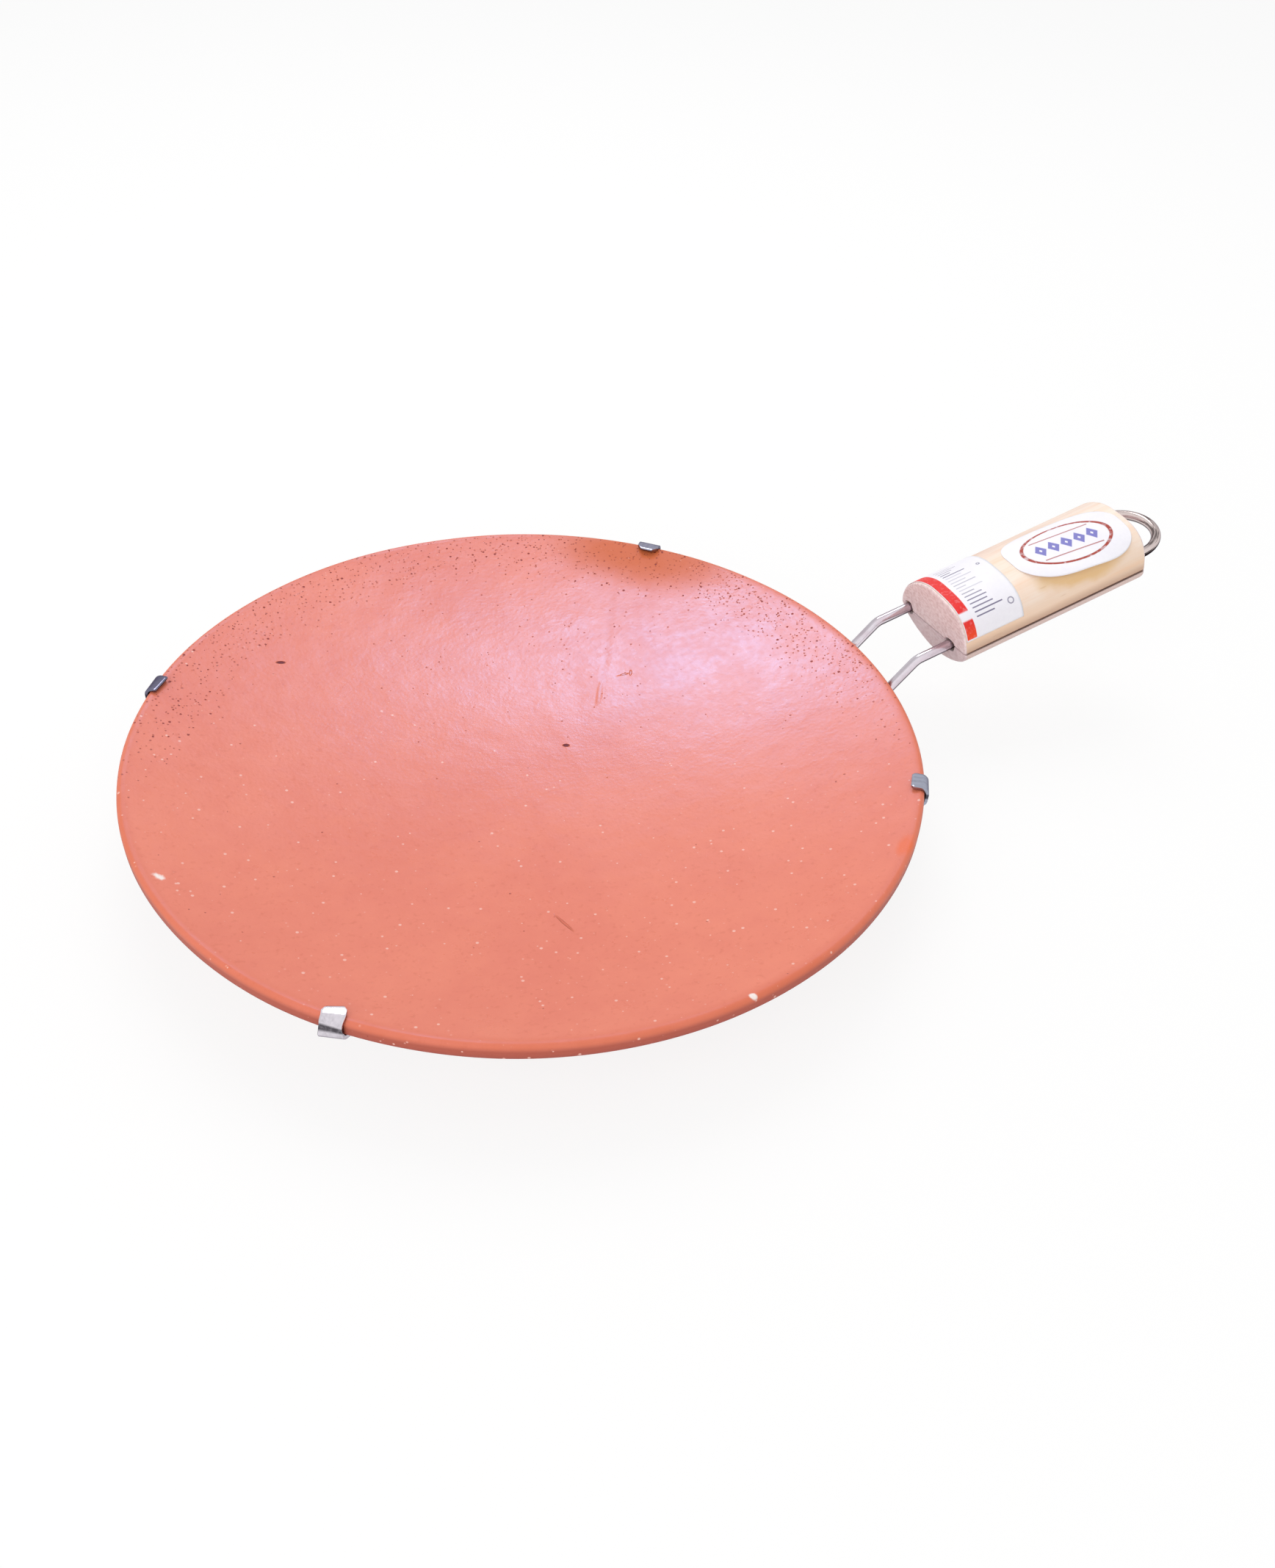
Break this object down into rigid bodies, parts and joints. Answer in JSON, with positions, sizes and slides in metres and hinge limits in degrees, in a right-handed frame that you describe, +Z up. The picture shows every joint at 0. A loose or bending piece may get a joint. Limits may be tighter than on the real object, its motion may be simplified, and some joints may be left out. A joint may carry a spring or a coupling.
{
  "type": "clay tawa",
  "caption": "Round shallow fired-clay griddle held by crossed steel straps, with a bent-wire handle, a two-part wooden grip and a hanging loop.",
  "frame": {"origin": "on the dish's axis, on the underside of the lower strap where the two straps cross, which is the plane that the tawa stands on", "axes": "+Z up along the dish's axis, +X from the dish's axis along the handle, +Y to the left when looking along the handle from the dish"},
  "size_m": [0.3761, 0.254, 0.072],
  "materials": {
    "fired_clay": "unglazed fired clay, smooth and a little soft in its sheen",
    "strap_steel": "bright rolled strip",
    "wire_steel": "polished wire",
    "grip_wood": "pale sanded wood, bare",
    "label_paper": "white printed paper, satin"
  },
  "bodies": {
    "root": {"clay_dish": "fired_clay", "strap_lower": "strap_steel", "strap_upper": "strap_steel", "handle_wire": "wire_steel", "grip_top": "grip_wood", "grip_bottom": "grip_wood", "front_label": "label_paper", "oval_sticker": "label_paper"}
  },
  "joints": []
}
